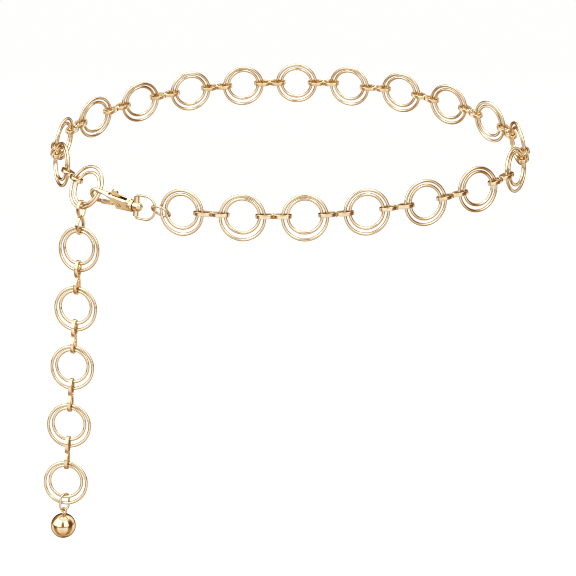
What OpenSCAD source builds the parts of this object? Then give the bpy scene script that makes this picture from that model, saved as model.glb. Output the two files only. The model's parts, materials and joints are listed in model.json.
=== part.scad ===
// Waist chain: twenty double rings joined by figure-eight connectors and closed by a swivel
// snap hook, with a tail of five more double rings that ends in a polished ball.
// Millimetres, Z up, the wearer's front towards -Y. The origin is the middle of the waist loop.

/* [Rings] */
// Outside diameter of the large ring of each pair
ring_od = 30; // [27:0.5:33]
// Outside diameter of the small ring inside it
inner_od = 23.5; // [20:0.5:24.5]
// Thickness of the round wire of both rings
ring_wire = 1.9; // [1.5:0.1:2.1]

/* [Connectors] */
// Length of a connector over its two eyes
link_len = 22.8; // [22:0.1:26]
// Width of a connector's eye at its widest
link_w = 7.5; // [7.3:0.1:7.9]
// Thickness of the connector's band, seen from above the eye
band_t = 1.3; // [1.1:0.1:1.4]
// Height of the connector's band, along the ring wire
band_h = 2.4; // [1.8:0.1:3]
// Diameter of the soldered neck between the two eyes
neck_d = 2.7; // [2.4:0.1:3.2]

/* [Chain] */
// Number of double rings round the waist
loop_links = 20; // [17:1:23]
// Number of double rings in the hanging tail
tail_links = 5; // [1:1:8]
// Play at each end of a connector in the waist loop
loop_play = 0.25; // [0.15:0.05:0.5]
// Clear gap wherever two pieces of the chain bear on each other
clear = 0.16; // [0.14:0.01:0.2]

/* [Hang] */
// How far the loop dips from back to front, as it sits on the hips
dip = 21.5; // [15:0.5:25]
// How far the loop rises from left to right
side_rise = 1; // [0:0.5:3]
// Lean of the rings all round, their lower edge outwards
lean = 8; // [4:1:12]
// Extra lean at the back, taken off again at the front
lean_back = 12; // [8:1:15]
// Extra lean of the first ring, which the hook and the tail pull outwards
first_lean = 23; // [20:1:27]
// How far the tail's weight pulls the first ring down
first_sag = 2; // [0:0.5:3]
// Slope of the tail towards the side
tail_lean = 4.5; // [0:0.5:8]
// Turn of the first tail ring away from the front
tail_turn = 22; // [0:1:25]
// Share of that turn that each lower tail ring keeps
turn_kept = 0.7; // [0.5:0.05:1]

/* [Clasp] */
// Thickness of the hook's round bar
hook_bar = 2.4; // [2:0.1:2.6]
// Outside diameter of the hook's bend
bend_od = 11; // [10.6:0.1:12]
// Length of the hook's body, from the outside of the bend to the collar's end
hook_len = 33; // [32:0.5:37]
// Thickness of the body, over both cheeks
body_t = 5.2; // [4.8:0.1:6]
// Width of the slot that the lever works in
slot_w = 2.2; // [2:0.1:2.6]
// Diameter of the collar round the swivel pin
collar_d = 7.4; // [7:0.1:8.4]
// Diameter of the swivel pin
pin_d = 2.4; // [2.2:0.1:2.8]
// Diameter of the lever's rivet
rivet_d = 2; // [1.6:0.1:2.2]
// Turn of the hook about its own length, its top edge towards the front
hook_roll = 31; // [28:1:35]
// Where the hook holds the first ring, below the line to the last ring
hook_drop = 16; // [13:1:19]
// Where the jump ring holds the last ring, below the line to the first ring
last_drop = 14; // [0:1:15]

/* [Swivel and rings] */
// Diameter of the swivel's barrel
barrel_d = 5.8; // [5.6:0.1:6]
// Length of the cross bar whose ends hold the D loop
bar_len = 12.6; // [12:0.2:14]
// Thickness of the D loop's wire
d_wire = 1.4; // [1.1:0.1:1.6]
// Height of the D loop over its wire
d_height = 16.4; // [16:0.2:19]
// Reach of the D loop from the cross bar's middle
d_reach = 15.1; // [15:0.1:18]
// Outside diameter of the round jump ring
jump_od = 13.6; // [13:0.1:14.5]
// Thickness of the jump ring's wire
jump_wire = 1.6; // [1.3:0.1:1.7]
// Tilt of the jump ring, its front side raised
jump_tilt = 37; // [35:1:55]

/* [Ball] */
// Diameter of the ball
ball_d = 16.6; // [14:0.2:19]
// Height of the oval link that holds it
end_link_h = 12.9; // [12.7:0.1:15]
// Width of that link
end_link_w = 8.4; // [8:0.1:9]
// Thickness of that link's wire
end_wire = 1.4; // [1.2:0.1:1.6]
// Turn of that link, so that its opening faces the front
end_turn = 40; // [0:1:44]
// Thickness of the wire of the ball's eye
eye_wire = 1.3; // [1.1:0.1:1.5]

/* [Hidden] */
$fn = 48;
gold = "#dcc092";
waist_names = [for (i = [1:loop_links]) str("ring_", i < 10 ? "0" : "", i)];
tail_names = [for (k = [1:tail_links]) str("tail_ring_", k)];

// Wire centres, from each ring's middle.
outer_r = (ring_od - ring_wire) / 2;
inner_r = (inner_od - ring_wire) / 2;
// The outer ring sinks until its top rests on the inner ring's top.
sink = outer_r - inner_r - ring_wire - clear;
// Distance between two ring wires that pull on one connector.
taut_gap = link_len - 2 * band_t - ring_wire - 2 * clear;
tail_pitch = 2 * inner_r + taut_gap;
loop_pitch = tail_pitch - 2 * loop_play;

// Shape of the loop as it hangs, seen square on, clockwise from the left: hand-chosen points
// that are scaled together until the chain and its clasp just close it.
route = [
    [-161, 0], [-134, 51], [-75, 86], [0, 97], [72, 81], [122, 46],
    [153, -4], [143, -55], [82, -93], [0, -108], [-83, -95], [-142, -54]
];
// Place of the first ring on the route, counted in its points.
first_at = 10.86;

// Habits of each double ring by its number round the waist: how far its outer ring has dropped
// and slid onward, as shares of all its play, its own turn about the vertical in degrees, and how
// much the chain is tucked in after it, where the rings stand across the chain. Later rings
// start the table again.
//    drop, slide, turn, tuck
habits = [
    [-0.3, 0.9, -5, 1.3], [0.4, -0.85, 6, 1.6], [0.5, 0.85, -5, 0.6], [0.3, 0.1, -4, 0.1], [0.7, 0, 0, 0.1],
    [0.5, 0, 0, 0], [0.9, 0, 2, 0.1], [0.3, 0, 0, 0.3], [0.8, 0, -7, 0.1], [0.6, 0, 0, 0.1],
    [0.5, 0, 6, 0.3], [0.4, 0.2, 5, 0.5], [0.4, -0.9, 6, 1.8], [0.4, 0.9, -3, 0.6], [0.5, 0.2, -6, 0],
    [0.3, 0, 2, 0], [0.4, 0, 0, 0], [1, 0, 0, 0], [0.95, 0, 0, 0.1], [0.6, 0, 0, 0]
];
function habit(i) = habits[i % len(habits)];

function unit(v) = v / norm(v);
function across(v, n) = unit(v - (v * n) * n);
function mix(a, b, t) = a + (b - a) * t;

// A point of the smooth closed curve through the route's points.
function on_route(u) =
    let (n = len(route), i = floor(u), t = u - i,
         a = route[(i + n - 1) % n], b = route[i % n], c = route[(i + 1) % n], d = route[(i + 2) % n])
    (2 * b + (c - a) * t + (2 * a - 5 * b + 4 * c - d) * t * t + (3 * b - a - 3 * c + d) * t * t * t) / 2;
// The next place on the route that lies one step away in a straight line.
function next_on(u, step, lo = 0, hi = 2, tries = 18) =
    tries == 0 ? u + (lo + hi) / 2 :
    norm(on_route(u + (lo + hi) / 2) - on_route(u)) > step
        ? next_on(u, step, lo, (lo + hi) / 2, tries - 1)
        : next_on(u, step, (lo + hi) / 2, hi, tries - 1);
function places(size, u = first_at, i = 0) =
    i == loop_links ? [] : concat([u], places(size, next_on(u, (loop_pitch - habit(i)[3]) / size), i + 1));
// Straight distance left open between the last ring and the first, negative where the chain
// would pass its own start.
function open_gap(size) =
    let (end = places(size)[loop_links - 1])
    (end > first_at + len(route) ? -1 : 1) * size * norm(on_route(end) - on_route(first_at));
// Size of the loop at which that distance is just what the clasp fills.
function fitting_size(goal, lo = 0.6, hi = 1.5, tries = 14) =
    let (mid = (lo + hi) / 2)
    tries == 0 ? mid :
    open_gap(mid) > goal ? fitting_size(goal, lo, mid, tries - 1) : fitting_size(goal, mid, hi, tries - 1);

// Radial clearance of the rivet, the swivel pin and the D loop's ends in their holes.
running = 0.08;

// The clasp along its own length, measured from the outside of the hook's bend.
bend_r = (bend_od - hook_bar) / 2;
held_at = [hook_bar + ring_wire / 2 + 1.3, 3.2];
bar_x = hook_len + 1.9;
d_far = bar_x + d_reach - d_wire / 2;
jump_r = (jump_od - jump_wire) / 2;
jump_x = d_far + jump_r - (d_wire + jump_wire) / 2 - clear;
last_wire = jump_x + jump_r - (jump_wire + ring_wire) / 2 - clear - 0.15;
clasp_span = norm([last_wire - held_at[0], held_at[1]]);

// Ring middles round the waist.
loop_size = fitting_size(clasp_span + 1.91 * inner_r);
loop_u = places(loop_size);
plane_x = [cos(side_rise), 0, sin(side_rise)];
plane_y = across([0, cos(dip), sin(dip)], plane_x);
middles = [for (k = [0:1:loop_links - 1]) let (p = loop_size * on_route(loop_u[k]))
    p[0] * plane_x + p[1] * plane_y - [0, 0, k == 0 ? first_sag : 0]];
last = loop_links - 1;

// Axes of a ring: along the chain, up across the ring, and through it.
function along(i) =
    let (before = i == 0 ? middles[last] : middles[i - 1], after = i == last ? middles[0] : middles[i + 1],
         way = unit(unit(after - middles[i]) + unit(middles[i] - before)),
         turn = habit(i)[2])
    [way[0] * cos(turn) - way[1] * sin(turn), way[0] * sin(turn) + way[1] * cos(turn), way[2]];
function ring_axes(i) =
    let (x = along(i), out = unit([-x[1], x[0], 0]),
         tilt = lean + lean_back * out[1] + (i == 0 ? first_lean : 0),
         up = across([0, 0, cos(tilt)] - out * sin(tilt), x))
    [x, up, cross(up, x)];
axes = [for (i = [0:last]) ring_axes(i)];

// The point of a ring's wire that lies from its middle towards another point, or some degrees
// below that.
function towards(i, goal, r, below = 0) =
    let (x = across(goal - middles[i], axes[i][2]))
    middles[i] + r * (cos(below) * x + sin(below) * across(-axes[i][1], x));

// The tail hangs from the lowest wire of the first ring.
tail_way = [-sin(tail_lean), 0, -cos(tail_lean)];
tail_side = 0.6 * [-axes[0][1][0], -axes[0][1][1], 0];
tail_top = towards(0, middles[0] + 100 * tail_way, inner_r) + tail_side - 0.2 * tail_way;
function tail_middle(k) = tail_top + tail_way * (taut_gap + inner_r + (k - 1) * tail_pitch);
function tail_axes(k) =
    let (a = tail_turn * pow(turn_kept, k - 1), x = across([cos(a), -sin(a), 0], tail_way))
    [x, -tail_way, cross(-tail_way, x)];

// The clasp's axes: from the first ring to the last, and up across the hook.
hold_first = towards(0, middles[last], inner_r, hook_drop);
hold_last = towards(last, middles[0], inner_r, last_drop);
hold_x = unit(hold_last - hold_first);
hold_up = across([0, 0, 1], hold_x);
hook_up = cos(hook_roll) * hold_up - sin(hook_roll) * cross(hold_up, hold_x);
clasp_x = unit(hold_last - hold_first + held_at[1] * hook_up);
clasp_up = across([0, 0, 1], clasp_x);
clasp_in = cross(clasp_up, clasp_x);
clasp_at = hold_last - last_wire * clasp_x;

// Heights on the hook, from the swivel's axis.
bend_at = [bend_od / 2, 3.2];
slope = 10.5;
gate_z = bend_at[1] - bend_r - 0.2;
tip_x = 6.6;
body_x = hook_len - 3;
pocket_x = body_x - 3.3;
rivet_at = [pocket_x - 4.2, -0.2];
slot_x = rivet_at[0] - 7;

// Puts a piece that is drawn round the origin at a place, with its axes along x and z.
module set_at(at, x, z) {
    y = cross(z, x);
    multmatrix([
        [x[0], y[0], z[0], at[0]], [x[1], y[1], z[1], at[1]], [x[2], y[2], z[2], at[2]], [0, 0, 0, 1]
    ]) children();
}

// Puts a piece that is drawn along the clasp, z up, at its place, turned about that length.
module on_clasp(roll) {
    set_at(clasp_at, clasp_x, unit(cos(roll) * clasp_up - sin(roll) * clasp_in)) children();
}

module wire_ring(r, wire) {
    rotate_extrude() translate([r, 0]) circle(d = wire);
}

// A stretch of round wire bent to radius r about the origin, from one angle to another.
module wire_bend(r, wire, from, to) {
    rotate([0, 0, from]) rotate_extrude(angle = to - from) translate([r, 0]) circle(d = wire);
}

module double_ring(at, ax, drop, slide = 0) {
    color(gold) {
        set_at(at, ax[0], ax[2]) wire_ring(inner_r, ring_wire);
        set_at(at + sink * (slide * ax[0] - drop * ax[1]), ax[0], ax[2]) wire_ring(outer_r, ring_wire);
    }
}

// A connector lies along x, its eyes in the plane of x and y. The middle line of each eye is two
// long side arcs closed by a tight end arc, given as points with their outward directions.
eye_half = (link_w - band_t) / 2;
eye_end = (link_len - band_t) / 2;
eye_mid = 0.52 * eye_end;
neck_half = (neck_d - band_t) / 2;
side_r = (pow(eye_mid, 2) + pow(eye_half - neck_half, 2)) / (2 * (eye_half - neck_half));
side_c = side_r - eye_half;
end_r = (pow(side_r, 2) - pow(side_c, 2) - pow(eye_end - eye_mid, 2)) / (2 * (side_r - eye_end + eye_mid));
meet = atan2(side_c, eye_end - end_r - eye_mid);
neck_a = acos(-eye_mid / side_r);
upper = [for (t = [0:0.2:1]) let (a = mix(neck_a, meet, t)) [eye_mid + side_r * cos(a), side_r * sin(a) - side_c, a]];
round_end = [for (t = [1:1:5]) let (a = mix(meet, -meet, t / 6)) [eye_end - end_r + end_r * cos(a), end_r * sin(a), a]];
eye_line = concat(upper, round_end, [for (i = [5:-1:1]) [upper[i][0], -upper[i][1], -upper[i][2]]]);
whole_line = concat(eye_line, [for (p = eye_line) [-p[0], -p[1], p[2] + 180]]);
band = [
    [band_t / 2, -0.2 * band_h], [band_t / 2, 0.2 * band_h], [0, band_h / 2],
    [-band_t / 2, 0.2 * band_h], [-band_t / 2, -0.2 * band_h], [0, -band_h / 2]
];
band_points = [for (p = whole_line, b = band) [p[0] + b[0] * cos(p[2]), p[1] + b[0] * sin(p[2]), b[1]]];
band_faces = let (n = len(whole_line), m = len(band))
    [for (i = [0:n - 1], j = [0:m - 1])
        [i * m + j, ((i + 1) % n) * m + j, ((i + 1) % n) * m + (j + 1) % m, i * m + (j + 1) % m]];

module connector() {
    color(gold) {
        polyhedron(band_points, band_faces);
        // Solder that joins the two strands.
        cube([2.4, neck_d - 2 * band_t + 0.9, 0.8 * band_h], center = true);
    }
}

// A connector between two wires, where each end is a point and the wire's direction there.
module connector_between(a, b, wire_a, wire_b) {
    x = unit(b - a);
    set_at((a + b) / 2, x, across(wire_a + (wire_a * wire_b < 0 ? -1 : 1) * wire_b, x)) connector();
}

// An eye is centred between the two wires that pass through it.
eye_at = inner_r + 1.3;

module waist_connectors() {
    for (i = [0:last - 1]) {
        connector_between(
            towards(i, middles[i + 1], eye_at), towards(i + 1, middles[i], eye_at),
            axes[i][1], axes[i + 1][1]
        );
    }
}

module tail_connectors() {
    // The first one stands across two differently turned rings, so it hangs a little lower.
    hang = tail_top + 0.03 * tail_way;
    connector_between(hang, hang + taut_gap * tail_way, axes[0][0], tail_axes(1)[0]);
    for (k = [1:1:tail_links - 1]) {
        foot = tail_middle(k) + inner_r * tail_way;
        connector_between(foot, foot + taut_gap * tail_way, tail_axes(k)[0], tail_axes(k + 1)[0]);
    }
}

// Side view of the hook's body behind the bend, with the round of the opening cut away.
module cheek_side() {
    difference() {
        polygon([
            [8, 6.4], [8, 7.9], [body_x, 3.5], [body_x, -3.3], [rivet_at[0] - 3.9, -3], [rivet_at[0] - 3.9, -1]
        ]);
        translate([11.2, -2.6]) circle(r = 8.6);
    }
}

module along_y(t) {
    rotate([90, 0, 0]) linear_extrude(height = t, center = true) children();
}

module hook_body() {
    color(gold) on_clasp(hook_roll) difference() {
        union() {
            translate([bend_at[0], 0, bend_at[1]]) rotate([90, 0, 0]) {
                wire_bend(bend_r, hook_bar, 90 - slope, 288);
                rotate([0, 0, 90 - slope]) translate([bend_r, 0]) rotate([90, 0, 0]) cylinder(d = hook_bar, h = 12);
            }
            // Two cheeks that part behind the bend, each with a rounded rim along the top.
            intersection() {
                along_y(2 * body_t) cheek_side();
                linear_extrude(height = 30, center = true) polygon([
                    [5, -0.6], [slot_x + 1, -body_t / 2], [body_x + 5, -body_t / 2],
                    [body_x + 5, body_t / 2], [slot_x + 1, body_t / 2], [5, 0.6]
                ]);
            }
            for (side = [-1, 1]) translate([10.5, side * 0.3, 6.75]) rotate([0, 0, side * 4])
                rotate([0, 90 + 9.8, 0]) cylinder(d = 1.7, h = body_x - 9.5);
            translate([body_x - 0.5, 0, 0]) rotate([0, 90, 0]) cylinder(d = collar_d, h = hook_len - body_x + 0.5);
            translate([body_x + 0.8, 0, 0]) rotate([0, 90, 0]) cylinder(d = collar_d + 0.7, h = 1.3);
        }
        // Slot for the lever, open along the top, and the hole of its rivet.
        translate([slot_x, -slot_w / 2, -20]) cube([pocket_x + 1.5 - slot_x, slot_w, 40]);
        translate([rivet_at[0], 0, rivet_at[1]]) rotate([90, 0, 0])
            cylinder(d = rivet_d + 2 * running, h = body_t + 1, center = true);
        // Bore and pocket of the swivel pin.
        translate([body_x - 1, 0, 0]) rotate([0, 90, 0]) cylinder(d = pin_d + 2 * running, h = 5);
        translate([pocket_x, 0, 0]) rotate([0, 90, 0]) cylinder(d = pin_d + 2, h = body_x - 0.4 - pocket_x);
    }
}

module gate_lever() {
    color(gold) on_clasp(hook_roll) difference() {
        union() {
            // Gate bar, which shuts the opening against the hook's tip.
            translate([tip_x + 1.1, -hook_bar / 2, gate_z - 1]) cube([slot_x + 0.1 - tip_x, hook_bar, 2]);
            along_y(slot_w - 4 * clear) {
                translate([slot_x, gate_z - 0.9]) square([6, 1.8]);
                translate(rivet_at) circle(d = rivet_d + 2.8);
                // Arm up through the slot and the rounded thumb tab.
                polygon([
                    rivet_at + [-2.2, 0.6], rivet_at + [2.2, 0.6],
                    rivet_at + [0.9, 5.6], rivet_at + [0.6, 8.2], rivet_at + [-4.2, 8.2], rivet_at + [-4.3, 5.8]
                ]);
                translate(rivet_at + [-1.8, 8.2]) circle(r = 2.4);
            }
        }
        translate([rivet_at[0], 0, rivet_at[1]]) rotate([90, 0, 0])
            cylinder(d = rivet_d + 2 * running, h = body_t + 1, center = true);
    }
}

module rivet() {
    color(gold) on_clasp(hook_roll) translate([rivet_at[0], 0, rivet_at[1]]) rotate([90, 0, 0]) difference() {
        union() {
            cylinder(d = rivet_d, h = body_t + 0.5, center = true);
            for (side = [-1, 1]) translate([0, 0, side * (body_t / 2 + clear + 0.2)])
                cylinder(d = rivet_d + 1, h = 0.4, center = true);
        }
        for (side = [-1, 1]) translate([0, 0, side * (body_t / 2 + 0.4)])
            cylinder(d = rivet_d - 0.6, h = 1.4, center = true);
    }
}

module swivel_head() {
    start = hook_len + 0.25;
    color(gold) on_clasp(0) difference() {
        union() {
            translate([start, 0, 0]) rotate([0, 90, 0]) cylinder(d = barrel_d, h = bar_x + 1.4 - start);
            translate([bar_x + 1.4, 0, 0]) sphere(d = barrel_d);
            translate([bar_x, 0, 0]) cylinder(d = 3.6, h = bar_len, center = true);
            translate([pocket_x + 0.4, 0, 0]) rotate([0, 90, 0]) cylinder(d = pin_d, h = bar_x - pocket_x);
            translate([pocket_x + 0.4, 0, 0]) rotate([0, 90, 0]) cylinder(d = pin_d + 1.2, h = 1.6);
        }
        // Blind holes for the ends of the D loop, clear of the barrel.
        for (side = [0, 180]) rotate([side, 0, 0]) translate([bar_x, 0, bar_len / 2 - 2.4])
            cylinder(d = d_wire + 2 * running, h = 4);
    }
}

module d_loop() {
    high = (d_height - d_wire) / 2;
    mid = d_far - high;
    color(gold) on_clasp(0) rotate([90, 0, 0]) {
        translate([mid, 0]) wire_bend(high, d_wire, -90, 90);
        for (side = [-1, 1]) {
            translate([bar_x + 1.2, side * high]) rotate([0, 90, 0]) cylinder(d = d_wire, h = mid - bar_x - 1.2);
            translate([bar_x + 1.2, side * (high - 1.2)])
                wire_bend(1.2, d_wire, side > 0 ? 90 : 180, side > 0 ? 180 : 270);
            translate([bar_x, side * (high - 1.2)]) rotate([side * 90, 0, 0])
                cylinder(d = d_wire, h = high - 1.2 - bar_len / 2 + 2.1);
        }
    }
}

module jump_ring() {
    color(gold) on_clasp(0) translate([jump_x, 0, 0]) rotate([-jump_tilt, 0, 0]) wire_ring(jump_r, jump_wire);
}

// The end link and the ball hang in one line below the last tail ring.
end_ax = tail_axes(tail_links);
end_wire_at = tail_middle(tail_links) + inner_r * tail_way;
end_top = end_wire_at - tail_way * (ring_wire / 2 + clear + 0.1 + end_wire);
link_side = across(cos(end_turn) * end_ax[2] + sin(end_turn) * end_ax[0], tail_way);
swing_at = end_top + tail_way * (end_link_h - end_wire / 2);
eye_r = 2;
eye_drop = eye_r - (eye_wire + end_wire) / 2 - clear;
ball_drop = eye_drop + eye_r + ball_d / 2 - 0.2;

module end_link() {
    r = (end_link_w - end_wire) / 2;
    run = end_link_h / 2 - end_wire / 2 - r;
    color(gold) set_at(end_top + tail_way * end_link_h / 2, link_side, cross(link_side, -tail_way)) {
        translate([0, run]) wire_bend(r, end_wire, 0, 180);
        translate([0, -run]) wire_bend(r, end_wire, 180, 360);
        for (side = [-1, 1]) translate([side * r, 0]) rotate([90, 0, 0])
            cylinder(d = end_wire, h = 2 * run, center = true);
    }
}

module ball() {
    color(gold) {
        set_at(swing_at + ball_drop * tail_way, link_side, -tail_way) sphere(d = ball_d, $fn = 96);
        set_at(swing_at + eye_drop * tail_way, -tail_way, link_side) wire_ring(eye_r, eye_wire);
    }
}

for (i = [0:last]) double_ring(middles[i], axes[i], habit(i)[0], habit(i)[1]);
for (k = [1:tail_links]) double_ring(tail_middle(k), tail_axes(k), 1);
waist_connectors();
tail_connectors();
hook_body();
gate_lever();
rivet();
swivel_head();
d_loop();
jump_ring();
end_link();
ball();
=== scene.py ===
import json
import math

import bmesh
import bpy
import numpy as np
from bpy.props import FloatProperty, FloatVectorProperty, IntProperty, PointerProperty
from mathutils import Matrix, Vector


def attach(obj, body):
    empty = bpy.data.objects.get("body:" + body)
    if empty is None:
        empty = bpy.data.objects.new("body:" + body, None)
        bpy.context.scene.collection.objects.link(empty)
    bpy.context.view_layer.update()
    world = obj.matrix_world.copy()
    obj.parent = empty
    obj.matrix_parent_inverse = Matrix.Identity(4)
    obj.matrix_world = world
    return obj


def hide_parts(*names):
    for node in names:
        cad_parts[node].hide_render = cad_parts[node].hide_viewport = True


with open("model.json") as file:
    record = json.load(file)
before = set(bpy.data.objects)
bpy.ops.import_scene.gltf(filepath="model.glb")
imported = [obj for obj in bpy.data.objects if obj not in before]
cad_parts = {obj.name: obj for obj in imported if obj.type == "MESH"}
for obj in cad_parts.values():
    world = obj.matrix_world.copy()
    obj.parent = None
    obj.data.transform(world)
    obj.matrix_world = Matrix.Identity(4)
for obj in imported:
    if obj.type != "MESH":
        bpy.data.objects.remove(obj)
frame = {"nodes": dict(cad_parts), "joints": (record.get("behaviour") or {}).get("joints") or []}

bl_info = {
    "name": "Waist Chain",
    "version": (1, 0, 0),
    "blender": (4, 5, 0),
    "location": "3D View > Sidebar > Waist Chain",
    "description": "Dresses a waist chain's double rings, connectors, clasp and ball in polished pale gold",
    "category": "Object",
}

MM = 0.001
SAME_POINT = 1e-6         # points of the frame's meshes that are closer than this are one
SAME_WIRE_POINT = 1e-7    # the same for a bent wire's own points
PALE_GOLD = (0.83, 0.65, 0.37)
WORN_GOLD = (0.75, 0.54, 0.28)
WAIST_RINGS = sorted(n for n in frame["nodes"] if n.startswith("ring_"))
TAIL_RINGS = sorted(n for n in frame["nodes"] if n.startswith("tail_ring_"))


# ---------------------------------------------------------------- sizes and colours

def mm(name, about, default, low, high):
    return FloatProperty(name=name, description=about, default=default * MM, min=low * MM, max=high * MM,
                         subtype="DISTANCE", unit="LENGTH", precision=5)


def colour(name, about, default):
    return FloatVectorProperty(name=name, description=about, default=default, size=3, min=0, max=1,
                               subtype="COLOR")


def amount(name, about, default, low=0.0, high=1.0):
    return FloatProperty(name=name, description=about, default=default, min=low, max=high)


def count(name, about, default, low, high):
    return IntProperty(name=name, description=about, default=default, min=low, max=high)


class CHAIN_PG_rings(bpy.types.PropertyGroup):
    wire: mm("Ring wire", "Thickness of the round wire of both rings", 1.9, 1.2, 2.4)
    steps: count("Steps round", "Steps round each ring", 120, 48, 200)
    wire_steps: count("Steps round the wire", "Steps round the wire", 20, 10, 32)
    joint: amount("Soldered joint", "How much thicker the wire is at each ring's soldered joint", 0.04, 0, 0.12)


class CHAIN_PG_connectors(bpy.types.PropertyGroup):
    band: mm("Band thickness", "Thickness of a connector's band", 1.3, 0.8, 1.6)
    height: mm("Band height", "Height of the band along the ring wire", 2.4, 1.6, 3.2)
    neck: mm("Neck width", "Width over both strands at the soldered neck", 2.7, 2.4, 3.4)
    edge: mm("Edge rounding", "Rounding of the band's long edges", 0.62, 0.1, 0.64)


class CHAIN_PG_clasp(bpy.types.PropertyGroup):
    length: mm("Hook length", "From the outside of the bend to the swivel end of the collar", 33, 30, 37)
    grain: mm("Casting detail", "Smallest detail kept on the cast pieces", 0.15, 0.08, 0.3)
    soften: count("Tumbling", "How often the cast pieces are smoothed", 3, 0, 12)
    loop_wire: mm("D loop wire", "Thickness of the D loop's wire", 1.4, 1, 1.8)
    loop_height: mm("D loop height", "Height of the D loop over its wire", 16.4, 14, 19)
    loop_reach: mm("D loop reach", "From the cross bar's middle to the far side", 15.1, 14, 18)
    jump_wire: mm("Jump ring wire", "Thickness of the jump ring's wire", 1.6, 1.2, 1.9)


class CHAIN_PG_pendant(bpy.types.PropertyGroup):
    link_wire: mm("End link wire", "Thickness of the oval link's wire", 1.4, 1, 1.8)
    ball: mm("Ball", "Diameter of the ball", 16.6, 14, 19)
    eye_wire: mm("Eye wire", "Thickness of the wire of the ball's eye", 1.3, 1, 1.6)


class CHAIN_PG_gold(bpy.types.PropertyGroup):
    metal: colour("Pale gold", "Colour of the plating seen straight on", PALE_GOLD)
    warm: colour("Worn gold", "Warmer colour where the plating is handled", WORN_GOLD)
    rim: colour("Rim tint", "Colour of the plating's reflections at a glancing angle", (0.30, 0.13, 0.04))
    rough: amount("Roughness", "Roughness of the drawn wire", 0.16)


class CHAIN_PG_studio(bpy.types.PropertyGroup):
    floor: colour("Floor", "Colour of the floor", (0.95, 0.95, 0.945))
    drop: mm("Floor below", "How far the floor lies below the waist", 620, 300, 900)
    panels: amount("Panels", "Brightness of the white panels in the polish", 1.6, 0, 5)
    key: amount("Softboxes", "Brightness of the softboxes", 1.0, 0, 4)


# ---------------------------------------------------------------- measuring the frame

def solids_of(node):
    """The points of each separate solid of a node, each as an array."""
    bm = bmesh.new()
    bm.from_mesh(frame["nodes"][node].data)
    bmesh.ops.remove_doubles(bm, verts=bm.verts, dist=SAME_POINT)
    bm.verts.index_update()
    seen, solids = set(), []
    for start in bm.verts:
        if start.index in seen:
            continue
        seen.add(start.index)
        stack, points = [start], []
        while stack:
            v = stack.pop()
            points.append(v.co[:])
            for e in v.link_edges:
                w = e.other_vert(v)
                if w.index not in seen:
                    seen.add(w.index)
                    stack.append(w)
        solids.append(np.array(points))
    bm.free()
    return solids


def lie_of(points):
    """Middle, axes from longest to shortest, and extents of a solid that is the same at both ends."""
    about = points.mean(0)
    axes = np.linalg.svd(points - about, full_matrices=False)[2]
    if np.linalg.det(axes) < 0:
        axes[2] = -axes[2]
    along = (points - about) @ axes.T
    low, high = along.min(0), along.max(0)
    return Vector(about + ((low + high) / 2) @ axes), [Vector(a) for a in axes], high - low


def place(at, x, y, z):
    """The matrix that puts a piece at a point, along three axes."""
    m = Matrix((x, y, z)).transposed().to_4x4()
    m.translation = at
    return m


def joint(name):
    return next(j for j in frame["joints"] if j["name"] == name)


def clasp_places(length):
    """Where the hook and the swivel are drawn: x along the clasp from the bend's outside, y across it."""
    x = Vector(joint("hook_swivel")["axis"]).normalized()
    y = Vector(joint("gate_hinge")["axis"]).normalized()
    at = Vector(joint("hook_swivel")["pos_m"]) - length * x
    up = (Vector((0, 0, 1)) - x.z * x).normalized()
    return place(at, x, y, x.cross(y)), place(at, x, up.cross(x), up)


def turns(first, last, steps):
    """Angles from first to last in even steps, with both ends."""
    return [first + (last - first) * k / steps for k in range(steps + 1)]


# ---------------------------------------------------------------- working steps

def clear_selection():
    if bpy.context.object and bpy.context.object.mode != "OBJECT":
        bpy.ops.object.mode_set(mode="OBJECT")
    bpy.ops.object.select_all(action="DESELECT")


def pick(*pieces):
    clear_selection()
    for p in pieces:
        p.select_set(True)
    bpy.context.view_layer.objects.active = pieces[0]


def settle(piece, name):
    """Names a piece and applies its place, so that its object sits at the origin."""
    pick(piece)
    bpy.ops.object.transform_apply(location=True, rotation=True, scale=True)
    bpy.ops.object.shade_smooth()
    piece.name = piece.data.name = name
    return piece


def joined(name, pieces):
    pick(*pieces)
    if len(pieces) > 1:
        bpy.ops.object.join()
    piece = bpy.context.object
    piece.name = piece.data.name = name
    return piece


def finish_with(piece, kind, **values):
    """Adds a modifier, sets it and applies it."""
    pick(piece)
    modifier = piece.modifiers.new(kind.title(), kind)
    for key, value in values.items():
        setattr(modifier, key, value)
    bpy.ops.object.modifier_apply(modifier=modifier.name)


def add_ring(name, at, normal, radius, wire, steps=96, wire_steps=20):
    clear_selection()
    bpy.ops.mesh.primitive_torus_add(
        location=at, rotation=normal.to_track_quat("Z", "Y").to_euler(), major_radius=radius,
        minor_radius=wire / 2, major_segments=steps, minor_segments=wire_steps)
    return settle(bpy.context.object, name)


def add_bent_wire(name, points, wire, where, closed=True, sides=5):
    """A round wire along points, made as a curve and turned into a mesh."""
    curve = bpy.data.curves.new(name, "CURVE")
    curve.dimensions = "3D"
    curve.bevel_depth, curve.bevel_resolution, curve.use_fill_caps = wire / 2, sides, not closed
    line = curve.splines.new("POLY")
    line.points.add(len(points) - 1)
    for slot, p in zip(line.points, points):
        slot.co = (*p, 1)
    line.use_cyclic_u = closed
    piece = bpy.data.objects.new(name, curve)
    bpy.context.scene.collection.objects.link(piece)
    pick(piece)
    bpy.ops.object.convert(target="MESH")
    piece = bpy.context.object
    piece.data.transform(where)
    bpy.ops.object.mode_set(mode="EDIT")
    bpy.ops.mesh.select_all(action="SELECT")
    bpy.ops.mesh.remove_doubles(threshold=SAME_WIRE_POINT)
    bpy.ops.mesh.normals_make_consistent(inside=False)
    return settle(piece, name)


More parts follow.
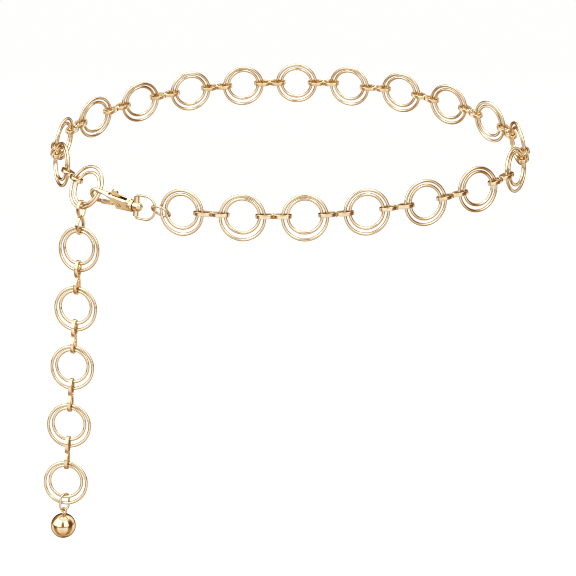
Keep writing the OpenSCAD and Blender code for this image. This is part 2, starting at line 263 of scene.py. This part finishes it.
def cast_copy(node, name, where, grain, soften):
    """A node's shape as a casting: the same solid with its edges tumbled soft."""
    piece = bpy.data.objects.new(name, frame["nodes"][node].data.copy())
    bpy.context.scene.collection.objects.link(piece)
    piece.data.materials.clear()
    pick(piece)
    piece.data.transform(where.inverted())
    bpy.ops.object.mode_set(mode="EDIT")
    bpy.ops.mesh.select_all(action="SELECT")
    bpy.ops.mesh.remove_doubles(threshold=SAME_POINT)
    bpy.ops.object.mode_set(mode="OBJECT")
    finish_with(piece, "REMESH", mode="VOXEL", voxel_size=grain, adaptivity=0)
    if soften:
        finish_with(piece, "SMOOTH", factor=0.5, iterations=soften)
    piece.data.transform(where)
    return settle(piece, name)


def dress(piece, material, body, *nodes):
    """Gives a piece its metal and its body, and hides the nodes that it stands for."""
    piece.data.materials.clear()
    piece.data.materials.append(material)
    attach(piece, body)
    if nodes:
        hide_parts(*nodes)


# ---------------------------------------------------------------- metals

def polish_group():
    """Shared polish: soft cloudy wear in colour and roughness, and hair-fine polishing lines."""
    if "Polish and wear" in bpy.data.node_groups:
        return bpy.data.node_groups["Polish and wear"]
    group = bpy.data.node_groups.new("Polish and wear", "ShaderNodeTree")
    made = group.interface.new_socket
    for name, value in (("Plating", PALE_GOLD), ("Handled", WORN_GOLD)):
        made(name, in_out="INPUT", socket_type="NodeSocketColor").default_value = (*value, 1)
    for name, value in (("Cloud Scale", 90), ("Line Scale", 900), ("Line Depth", 0.05), ("Smoothest", 0.1),
                        ("Roughest", 0.2)):
        made(name, in_out="INPUT", socket_type="NodeSocketFloat").default_value = value
    for name, kind in (("Colour", "Color"), ("Roughness", "Float"), ("Normal", "Vector")):
        made(name, in_out="OUTPUT", socket_type="NodeSocket" + kind)
    nodes, link = group.nodes, group.links.new
    inside, outside = nodes.new("NodeGroupInput"), nodes.new("NodeGroupOutput")
    where = nodes.new("ShaderNodeTexCoord")

    cloud = nodes.new("ShaderNodeTexNoise")
    cloud.inputs["Detail"].default_value = 4
    link(where.outputs["Object"], cloud.inputs["Vector"])
    link(inside.outputs["Cloud Scale"], cloud.inputs["Scale"])
    wear = nodes.new("ShaderNodeMapRange")
    wear.inputs["From Min"].default_value, wear.inputs["From Max"].default_value = 0.35, 0.7
    link(cloud.outputs["Fac"], wear.inputs["Value"])
    tone = nodes.new("ShaderNodeMix")
    tone.data_type = "RGBA"
    link(wear.outputs["Result"], tone.inputs["Factor"])
    link(inside.outputs["Plating"], tone.inputs["A"])
    link(inside.outputs["Handled"], tone.inputs["B"])
    link(tone.outputs["Result"], outside.inputs["Colour"])

    rough = nodes.new("ShaderNodeMapRange")
    link(cloud.outputs["Fac"], rough.inputs["Value"])
    rough.inputs["From Min"].default_value, rough.inputs["From Max"].default_value = 0.3, 0.7
    link(inside.outputs["Smoothest"], rough.inputs["To Min"])
    link(inside.outputs["Roughest"], rough.inputs["To Max"])
    link(rough.outputs["Result"], outside.inputs["Roughness"])

    stretch = nodes.new("ShaderNodeMapping")
    stretch.inputs["Scale"].default_value = (1, 0.25, 1)
    stretch.inputs["Rotation"].default_value = (0.4, 0.3, 0.5)
    link(where.outputs["Object"], stretch.inputs["Vector"])
    lines = nodes.new("ShaderNodeTexNoise")
    lines.inputs["Detail"].default_value = 3
    link(stretch.outputs["Vector"], lines.inputs["Vector"])
    link(inside.outputs["Line Scale"], lines.inputs["Scale"])
    bump = nodes.new("ShaderNodeBump")
    bump.inputs["Distance"].default_value = 0.0002
    link(inside.outputs["Line Depth"], bump.inputs["Strength"])
    link(lines.outputs["Fac"], bump.inputs["Height"])
    link(bump.outputs["Normal"], outside.inputs["Normal"])
    return group


def gold(name, smooth, rough, depth, clouds=90, lines=900):
    """Polished pale gold plating of one finish, from its smoothest to its roughest places."""
    if name in bpy.data.materials:
        return bpy.data.materials[name]
    look = bpy.context.scene.chain_gold
    material = bpy.data.materials.new(name)
    material.use_nodes = True
    nodes, link = material.node_tree.nodes, material.node_tree.links.new
    metal = nodes["Principled BSDF"]
    metal.inputs["Metallic"].default_value = 1
    metal.inputs["Specular Tint"].default_value = (*look.rim, 1)
    polish = nodes.new("ShaderNodeGroup")
    polish.node_tree = polish_group()
    for key, value in (("Plating", (*look.metal, 1)), ("Handled", (*look.warm, 1)), ("Cloud Scale", clouds),
                       ("Line Scale", lines), ("Line Depth", depth), ("Smoothest", smooth),
                       ("Roughest", rough)):
        polish.inputs[key].default_value = value
    for made, taken in (("Colour", "Base Color"), ("Roughness", "Roughness"), ("Normal", "Normal")):
        link(polish.outputs[made], metal.inputs[taken])
    return material


def wire_gold():
    rough = bpy.context.scene.chain_gold.rough
    return gold("Drawn wire gold", smooth=rough - 0.05, rough=rough + 0.05, depth=0.05)


def cast_gold():
    rough = bpy.context.scene.chain_gold.rough
    return gold("Cast gold", smooth=rough, rough=rough + 0.1, depth=0.08, clouds=140, lines=1200)


def ball_gold():
    return gold("Mirror gold", smooth=0.05, rough=0.11, depth=0.03, clouds=110, lines=700)


# ---------------------------------------------------------------- pieces

JOINT_TURNS = (37, 53)            # steps that the soldered joint moves on by link and by ring of a link
WIDEST_PLACE = 0.52               # where a connector's eye is widest, as a share of the way to its end
SOLDER_REACH = 1.9 * MM           # how far the solder runs each way along a connector's neck
SOLDER_INSET = 0.35 * MM          # how far the solder stays inside the neck's outer faces
SOLDER_HEIGHT = 0.4               # half the solder's height, as a share of the band's height
LEVER_GRAIN, HEAD_GRAIN, RIVET_GRAIN = 0.7, 0.8, 0.45  # the smaller castings keep finer detail
BAR_BEYOND_COLLAR = 1.9 * MM      # from the hook's collar to the middle of the cross bar
LOOP_CORNER = 1.2 * MM            # radius of the D loop's two corners
LOOP_WIRE_END = 4.3 * MM          # from the clasp's middle to each end of the D loop's wire
EYE_RADIUS = 2 * MM
EYE_SUNK = 0.2 * MM               # how deep the eye's wire is set into the ball


class CHAIN_OT_double_rings(bpy.types.Operator):
    """Makes the two loose rings of each link from round wire, each with its soldered joint"""
    bl_idname = "chain.double_rings"
    bl_label = "Double rings"

    def execute(self, context):
        size = context.scene.chain_rings
        metal = wire_gold()
        for number, node in enumerate(WAIST_RINGS + TAIL_RINGS):
            rings = []
            smaller_first = sorted(solids_of(node), key=lambda p: np.ptp(p, axis=0).max())
            for which, points in enumerate(smaller_first):
                at, axes, extents = lie_of(points)
                radius = (extents[0] + extents[1]) / 4 - size.wire / 2
                ring = add_ring("ring", at, axes[2], radius, size.wire, size.steps, size.wire_steps)
                step = (number * JOINT_TURNS[0] + which * JOINT_TURNS[1]) % size.steps
                self.raise_joint(ring, size, step)
                rings.append(ring)
            dress(joined("Double_" + node, rings), metal, "chain", node)
        return {"FINISHED"}

    @staticmethod
    def raise_joint(ring, size, step):
        """Swells one step of the wire where its ends are soldered."""
        pick(ring)
        bpy.ops.object.mode_set(mode="EDIT")
        bpy.ops.mesh.select_all(action="DESELECT")
        bpy.ops.object.mode_set(mode="OBJECT")
        chosen = ring.data.vertices[step * size.wire_steps:(step + 1) * size.wire_steps]
        for v in chosen:
            v.select = True
        middle = sum((v.co for v in chosen), Vector()) / len(chosen)
        bpy.ops.object.mode_set(mode="EDIT")
        grow = 1 + size.joint
        bpy.ops.transform.resize(value=(grow, grow, grow), center_override=middle)
        bpy.ops.object.mode_set(mode="OBJECT")


class CHAIN_OT_connectors(bpy.types.Operator):
    """Bends one figure-eight connector from flat band, solders its neck and copies it to every gap"""
    bl_idname = "chain.connectors"
    bl_label = "Connectors"

    def execute(self, context):
        size = context.scene.chain_connectors
        metal = wire_gold()
        for node in ("waist_connectors", "tail_connectors"):
            solids = [lie_of(points) for points in solids_of(node)]
            model = self.bend(size, solids[0][2])
            copies = []
            for at, axes, _ in solids:
                piece = bpy.data.objects.new("connector", model.data.copy())
                context.scene.collection.objects.link(piece)
                piece.data.transform(place(at, *axes))
                copies.append(piece)
            bpy.data.objects.remove(model)
            dress(joined(node.capitalize(), copies), metal, "chain", node)
        return {"FINISHED"}

    @staticmethod
    def outline(length, width, band, neck, steps=11, tip_steps=10):
        """The middle line of the band: two long arcs a side, closed by a tight arc at each end."""
        half, end, waist = (width - band) / 2, (length - band) / 2, (neck - band) / 2
        mid = WIDEST_PLACE * end
        side = (mid ** 2 + (half - waist) ** 2) / (2 * (half - waist))
        drop = side - half
        tight = (side ** 2 - drop ** 2 - (end - mid) ** 2) / (2 * (side - end + mid))
        meet = math.atan2(drop, end - tight - mid)
        first = math.acos(-mid / side)
        top = [(mid + side * math.cos(a), side * math.sin(a) - drop) for a in turns(first, meet, steps)]
        tip = [(end - tight + tight * math.cos(a), tight * math.sin(a))
               for a in turns(meet, -meet, tip_steps)[1:-1]]
        eye = top + tip + [(x, -y) for x, y in reversed(top)]
        return eye + [(-x, -y) for x, y in eye]

    def bend(self, size, extents):
        line = self.outline(extents[0], extents[1], size.band, size.neck)
        clear_selection()
        bpy.ops.mesh.primitive_circle_add(vertices=len(line), radius=1, fill_type="NOTHING")
        piece = bpy.context.object
        for v, (x, y) in zip(piece.data.vertices, line):
            v.co = (x, y, -size.height / 2)
        bpy.ops.object.mode_set(mode="EDIT")
        bpy.ops.mesh.select_all(action="SELECT")
        bpy.ops.mesh.extrude_region_move(TRANSFORM_OT_translate={"value": (0, 0, size.height)})
        bpy.ops.mesh.select_all(action="SELECT")
        bpy.ops.mesh.normals_make_consistent(inside=False)
        bpy.ops.object.mode_set(mode="OBJECT")
        finish_with(piece, "SOLIDIFY", thickness=size.band, offset=0, use_even_offset=True)
        finish_with(piece, "BEVEL", width=size.edge, segments=4, limit_method="ANGLE",
                    angle_limit=math.radians(50))
        band = settle(piece, "band")
        clear_selection()
        bpy.ops.mesh.primitive_uv_sphere_add(segments=20, ring_count=12, radius=1)
        solder = bpy.context.object
        solder.scale = (SOLDER_REACH, size.neck / 2 - SOLDER_INSET, size.height * SOLDER_HEIGHT)
        return joined("connector model", [band, settle(solder, "solder")])


class CHAIN_OT_snap_hook(bpy.types.Operator):
    """Makes the snap hook's cast body, its gate lever and its rivet"""
    bl_idname = "chain.snap_hook"
    bl_label = "Snap hook"

    def execute(self, context):
        size = context.scene.chain_clasp
        hook, _ = clasp_places(size.length)
        metal = cast_gold()
        body = cast_copy("hook_body", "Hook_body_cast", hook, size.grain, size.soften)
        dress(body, metal, "chain", "hook_body")
        lever = cast_copy("gate_lever", "Gate_lever_cast", hook, size.grain * LEVER_GRAIN, size.soften)
        dress(lever, metal, "lever", "gate_lever")
        rivet = cast_copy("rivet", "Hinge_rivet", hook, size.grain * RIVET_GRAIN, size.soften)
        dress(rivet, metal, "chain", "rivet")
        return {"FINISHED"}


class CHAIN_OT_swivel(bpy.types.Operator):
    """Makes the swivel head, the D loop and the jump ring that join the hook to the last double ring"""
    bl_idname = "chain.swivel"
    bl_label = "Swivel and rings"

    def execute(self, context):
        size = context.scene.chain_clasp
        _, swivel = clasp_places(size.length)
        head = cast_copy("swivel_head", "Swivel_head_cast", swivel, size.grain * HEAD_GRAIN, size.soften)
        dress(head, cast_gold(), "swivel", "swivel_head")
        bar = size.length + BAR_BEYOND_COLLAR
        high = (size.loop_height - size.loop_wire) / 2
        mid = bar + size.loop_reach - size.loop_wire / 2 - high
        side = [(bar, LOOP_WIRE_END)]
        side += [(bar + LOOP_CORNER - LOOP_CORNER * math.cos(a), high - LOOP_CORNER + LOOP_CORNER * math.sin(a))
                 for a in turns(0, math.pi / 2, 6)]
        arc = [(mid + high * math.cos(a), high * math.sin(a)) for a in turns(math.pi / 2, -math.pi / 2, 48)]
        path = side + arc + [(x, -z) for x, z in reversed(side)]
        loop = add_bent_wire("D_loop_wire", [(x, 0, z) for x, z in path], size.loop_wire, swivel, closed=False)
        dress(loop, wire_gold(), "swivel", "d_loop")
        at, axes, extents = lie_of(solids_of("jump_ring")[0])
        radius = (extents[0] + extents[1]) / 4 - size.jump_wire / 2
        ring = add_ring("Jump_ring_wire", at, axes[2], radius, size.jump_wire)
        dress(ring, wire_gold(), "chain", "jump_ring")
        return {"FINISHED"}


class CHAIN_OT_pendant(bpy.types.Operator):
    """Makes the oval end link and the polished ball with its eye"""
    bl_idname = "chain.pendant"
    bl_label = "End link and ball"

    def execute(self, context):
        size = context.scene.chain_pendant
        at, axes, extents = lie_of(solids_of("end_link")[0])
        r = (extents[1] - size.link_wire) / 2
        run = (extents[0] - extents[1]) / 2
        bow = [(run + r * math.sin(a), r * math.cos(a), 0) for a in turns(0, math.pi, 24)]
        path = bow + [(-x, -y, 0) for x, y, _ in bow]
        link = add_bent_wire("End_link_wire", path, size.link_wire, place(at, *axes))
        dress(link, wire_gold(), "end_link", "end_link")

        way = (Vector(joint("ball_swing")["pos_m"]) - Vector(joint("end_link_swing")["pos_m"])).normalized()
        points = solids_of("ball")[0] @ np.array(way)
        centre = Vector(joint("ball_swing")["pos_m"])
        centre += way * (points.max() - size.ball / 2 - centre.dot(way))
        clear_selection()
        bpy.ops.mesh.primitive_uv_sphere_add(segments=96, ring_count=64, radius=size.ball / 2, location=centre,
                                             rotation=(-way).to_track_quat("Z", "Y").to_euler())
        ball = settle(bpy.context.object, "ball shell")
        side = Vector(joint("ball_swing")["axis"]).normalized()
        eye_at = centre - way * (size.ball / 2 + EYE_RADIUS - EYE_SUNK)
        eye = add_ring("eye", eye_at, side, EYE_RADIUS, size.eye_wire, steps=48, wire_steps=16)
        dress(joined("Polished_ball", [ball, eye]), ball_gold(), "ball", "ball")
        return {"FINISHED"}


# ---------------------------------------------------------------- stage

FLOOR_SIZE = 30
ROOM_WHITE = (0.995, 0.995, 0.98, 1)
CAMERA_AIM = Vector((-3.3, 0, -101.8)) * MM
CAMERA_DISTANCE = 1.106
CAMERA_TILT = math.radians(10)
CAMERA_LENS, CAMERA_SENSOR = 100, 36

# The softboxes: name, place, width, height and power.
SOFTBOX_AIM = (0, 0, -0.1)
SOFTBOXES = (
    ("Softbox left", (-0.75, -0.75, 0.75), 0.45, 0.45, 2),
    ("Softbox right", (0.6, -0.85, 0.55), 0.3, 0.4, 1.2),
    ("Softbox above", (0, 0.1, 1.1), 0.9, 0.4, 3),
)

# The tent that the polish mirrors, as (place, brightness): height runs from straight down at 0 to
# straight up at 1, and a turn from behind at 0 over the left, the front at 0.5 and the right.
ROOM_BY_HEIGHT = (
    (0, 0.75), (0.09, 0.9), (0.13, 1.15), (0.2, 1.2), (0.3, 1.35), (0.36, 1.45), (0.44, 1.4), (0.48, 0.45),
    (0.6, 0.35), (0.8, 0.5), (0.9, 1.3), (1, 1.4),
)
PANELS_BY_HEIGHT = ((0, 0), (0.5, 0), (0.53, 1), (0.88, 1), (0.93, 0), (1, 0))
PANELS_ROUND = (
    (0, 0), (0.19, 0), (0.23, 1), (0.465, 1), (0.48, 0), (0.535, 0), (0.55, 1), (0.66, 1), (0.68, 0), (0.8, 0),
    (0.84, 0.6), (0.92, 0.6), (0.95, 0), (1, 0),
)
GAPS_ROUND = (
    (0, 1), (0.06, 0.8), (0.1, 0), (0.22, 0), (0.26, 1), (0.33, 1), (0.38, 0), (0.49, 0.15), (0.62, 0),
    (0.66, 1), (0.75, 1), (0.8, 0), (0.9, 0), (1, 1),
)
GAPS_BY_HEIGHT = (
    (0, 0.3), (0.12, 0.6), (0.25, 0.7), (0.38, 1.15), (0.47, 1.15), (0.5, 0.35), (0.7, 0.3), (0.85, 0), (1, 0),
)
DARKEST_TONE = 0.15

# The tint of the tent's light by its brightness times TINT_STEP: warm where dim, a little cool where bright.
TINT_STEP = 0.5
TINTS = ((0, (1, 0.38, 0.11)), (0.3, (1, 0.68, 0.4)), (0.48, (1, 0.9, 0.78)), (0.65, (0.85, 0.98, 1.28)))


def softbox(name, at, width, height, power):
    """A rectangular light that shows in the polish as a bright window."""
    light = bpy.data.lights.new(name, "AREA")
    light.shape, light.size, light.size_y, light.energy = "RECTANGLE", width, height, power
    lamp = bpy.data.objects.new(name, light)
    lamp.location = at
    lamp.rotation_euler = (Vector(SOFTBOX_AIM) - Vector(at)).to_track_quat("-Z", "Y").to_euler()
    bpy.context.scene.collection.objects.link(lamp)


def studio_light():
    """A white room for the floor. The polish mirrors a light tent: tall white panels, dusky gaps between."""
    world = bpy.data.worlds.new("Studio")
    bpy.context.scene.world = world
    world.use_nodes = True
    nodes, link = world.node_tree.nodes, world.node_tree.links.new
    nodes.clear()

    def math_node(operation, a, b=None, c=None):
        node = nodes.new("ShaderNodeMath")
        node.operation = operation
        for slot, value in zip(node.inputs, (a, b, c)):
            if isinstance(value, bpy.types.NodeSocket):
                link(value, slot)
            elif value is not None:
                slot.default_value = value
        return node.outputs[0]

    def ramp(where, stops):
        """The colour at a place on a ramp, from (place, colour) pairs."""
        node = nodes.new("ShaderNodeValToRGB")
        marks = node.color_ramp.elements
        marks[0].position, marks[1].position = stops[0][0], stops[-1][0]
        for position, _ in stops[1:-1]:
            marks.new(position)
        for mark, (_, tint) in zip(marks, stops):
            mark.color = (*tint, 1)
        link(where, node.inputs["Fac"])
        return node.outputs["Color"]

    def grey_ramp(where, stops):
        return ramp(where, [(position, (bright, bright, bright)) for position, bright in stops])

    way = nodes.new("ShaderNodeTexCoord")
    parts = nodes.new("ShaderNodeSeparateXYZ")
    link(way.outputs["Generated"], parts.inputs["Vector"])
    x, y, z = parts.outputs
    height = math_node("MULTIPLY_ADD", z, 0.5, 0.5)
    angle = math_node("ARCTAN2", x, math_node("MULTIPLY", y, -1))
    round_about = math_node("MULTIPLY_ADD", angle, 0.5 / math.pi, 0.5)

    panels = math_node("MULTIPLY", grey_ramp(height, PANELS_BY_HEIGHT), grey_ramp(round_about, PANELS_ROUND))
    dusk = math_node("MULTIPLY", grey_ramp(round_about, GAPS_ROUND), grey_ramp(height, GAPS_BY_HEIGHT))
    room = math_node("SUBTRACT", grey_ramp(height, ROOM_BY_HEIGHT), dusk)
    tone = math_node("MAXIMUM", room, DARKEST_TONE)
    tone = math_node("ADD", tone, math_node("MULTIPLY", panels, bpy.context.scene.chain_studio.panels))
    tint = ramp(math_node("MULTIPLY", tone, TINT_STEP), TINTS)

    white = nodes.new("ShaderNodeBackground")
    white.inputs["Color"].default_value = ROOM_WHITE
    tent = nodes.new("ShaderNodeBackground")
    link(tint, tent.inputs["Color"])
    link(tone, tent.inputs["Strength"])
    rays = nodes.new("ShaderNodeLightPath")
    mix = nodes.new("ShaderNodeMixShader")
    out = nodes.new("ShaderNodeOutputWorld")
    link(rays.outputs["Is Glossy Ray"], mix.inputs["Fac"])
    link(white.outputs["Background"], mix.inputs[1])
    link(tent.outputs["Background"], mix.inputs[2])
    link(mix.outputs["Shader"], out.inputs["Surface"])


class CHAIN_OT_studio(bpy.types.Operator):
    """Sets the pale floor, the soft studio light and the camera"""
    bl_idname = "chain.studio"
    bl_label = "Studio"

    def execute(self, context):
        scene = context.scene
        look = scene.chain_studio
        scene.view_settings.view_transform = "Standard"
        scene.cycles.filter_width = 1.05  # keeps the thin wires crisp
        clear_selection()
        bpy.ops.mesh.primitive_plane_add(size=FLOOR_SIZE, location=(0, 0, -look.drop))
        floor = settle(bpy.context.object, "Studio_floor")
        paint = bpy.data.materials.new("Floor paint")
        paint.use_nodes = True
        coat = paint.node_tree.nodes["Principled BSDF"]
        for key, value in (("Base Color", (*look.floor, 1)), ("Roughness", 0.9), ("Specular IOR Level", 0.1),
                           ("Emission Color", (1, 1, 0.99, 1)), ("Emission Strength", 0.06)):
            coat.inputs[key].default_value = value
        floor.data.materials.append(paint)
        floor.visible_glossy = False  # the polish mirrors the tent below, not the floor

        studio_light()
        for name, at, width, height, power in SOFTBOXES:
            softbox(name, at, width, height, power * look.key)

        view = bpy.data.cameras.new("Camera")
        view.lens, view.sensor_width = CAMERA_LENS, CAMERA_SENSOR
        camera = bpy.data.objects.new("Camera", view)
        back = Vector((0, -math.cos(CAMERA_TILT), math.sin(CAMERA_TILT)))
        camera.location = CAMERA_AIM + CAMERA_DISTANCE * back
        camera.rotation_euler = (math.pi / 2 - CAMERA_TILT, 0, 0)
        scene.collection.objects.link(camera)
        scene.camera = camera
        return {"FINISHED"}


# ---------------------------------------------------------------- add-on

class CHAIN_PT_panel(bpy.types.Panel):
    bl_label = "Waist Chain"
    bl_idname = "CHAIN_PT_panel"
    bl_space_type = "VIEW_3D"
    bl_region_type = "UI"
    bl_category = "Waist Chain"

    def draw(self, context):
        for title, group, operators in SECTIONS:
            box = self.layout.box()
            box.label(text=title)
            values = getattr(context.scene, group)
            for key in values.__annotations__:
                box.prop(values, key)
            for operator in operators:
                box.operator(operator.bl_idname)


SECTIONS = (
    ("Gold", "chain_gold", ()),
    ("Rings", "chain_rings", (CHAIN_OT_double_rings,)),
    ("Connectors", "chain_connectors", (CHAIN_OT_connectors,)),
    ("Clasp", "chain_clasp", (CHAIN_OT_snap_hook, CHAIN_OT_swivel)),
    ("Ball", "chain_pendant", (CHAIN_OT_pendant,)),
    ("Studio", "chain_studio", (CHAIN_OT_studio,)),
)
GROUPS = {
    "chain_gold": CHAIN_PG_gold, "chain_rings": CHAIN_PG_rings, "chain_connectors": CHAIN_PG_connectors,
    "chain_clasp": CHAIN_PG_clasp, "chain_pendant": CHAIN_PG_pendant, "chain_studio": CHAIN_PG_studio,
}
OPERATORS = [operator for _, _, operators in SECTIONS for operator in operators]


def register():
    for name, group in GROUPS.items():
        bpy.utils.register_class(group)
        setattr(bpy.types.Scene, name, PointerProperty(type=group))
    for operator in OPERATORS:
        bpy.utils.register_class(operator)
    bpy.utils.register_class(CHAIN_PT_panel)


def unregister():
    bpy.utils.unregister_class(CHAIN_PT_panel)
    for operator in reversed(OPERATORS):
        bpy.utils.unregister_class(operator)
    for name, group in reversed(GROUPS.items()):
        delattr(bpy.types.Scene, name)
        bpy.utils.unregister_class(group)


def main():
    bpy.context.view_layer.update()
    register()
    bpy.ops.chain.double_rings()
    bpy.ops.chain.connectors()
    bpy.ops.chain.snap_hook()
    bpy.ops.chain.swivel()
    bpy.ops.chain.pendant()
    bpy.ops.chain.studio()


if __name__ == "__main__":
    main()
